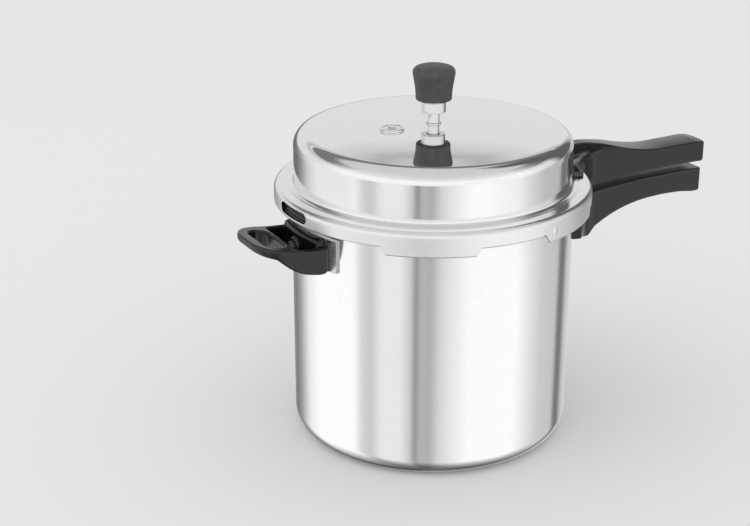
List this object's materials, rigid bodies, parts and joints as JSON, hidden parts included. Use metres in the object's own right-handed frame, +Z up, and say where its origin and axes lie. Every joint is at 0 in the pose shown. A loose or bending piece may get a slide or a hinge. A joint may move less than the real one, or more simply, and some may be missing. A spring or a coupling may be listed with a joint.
{
  "type": "stovetop pressure cooker",
  "caption": "Aluminium stovetop pressure cooker with a bayonet-locking outer lid, a dead weight on a vent tube, long handles and a looped helper handle.",
  "frame": {"origin": "centre of the pot's flat base, on the surface it stands on", "axes": "+X along the long handles, +Z up along the pot's axis; the helper handle is on -X"},
  "size_m": [0.416, 0.2432, 0.29],
  "materials": {
    "pot_aluminium": "bright satin, turned",
    "lid_aluminium": "mirror polished",
    "bracket_steel": "brushed",
    "bakelite": "semi-gloss moulded phenolic",
    "cap_bakelite": "matt moulded phenolic",
    "screw_steel": "zinc plated",
    "polished_steel": "polished stainless steel",
    "plug_metal": "bright turned",
    "fusible_alloy": "dull cast alloy",
    "rubber": "moulded nitrile rubber"
  },
  "bodies": {
    "pot": {"pot_body": "pot_aluminium", "pot_handle_bracket": "bracket_steel", "helper_bracket": "bracket_steel", "pot_handle_rivets": "bracket_steel", "helper_rivets": "bracket_steel", "pot_handle": "bakelite", "helper_handle": "bakelite", "pot_handle_screw": "screw_steel", "pot_handle_washer": "screw_steel", "helper_handle_screw": "screw_steel", "helper_handle_washer": "screw_steel"},
    "lid": {"lid_shell": "lid_aluminium", "lid_handle_bracket": "bracket_steel", "lid_handle_rivets": "bracket_steel", "lid_handle": "bakelite", "lid_handle_screw": "screw_steel", "lid_handle_washer": "screw_steel", "vent_tube": "polished_steel", "vent_tube_washer": "screw_steel", "vent_tube_nut": "screw_steel", "safety_plug_body": "plug_metal", "safety_plug_core": "fusible_alloy", "safety_plug_washer": "rubber", "safety_plug_nut": "plug_metal", "gasket": "rubber"},
    "weight": {"weight_cap": "cap_bakelite", "weight_body": "polished_steel", "weight_needle": "polished_steel", "weight_clip": "screw_steel"}
  },
  "joints": [
    {"name": "lid_turn", "type": "hinge", "parent": "pot", "child": "lid", "pos_m": [0, 0, 0.19], "axis": [0, 0, 1], "range_deg": [-30, 0]},
    {"name": "weight_lift", "type": "slide", "parent": "lid", "child": "weight", "axis": [0, 0, 1], "range_m": [0, 0.04]}
  ]
}
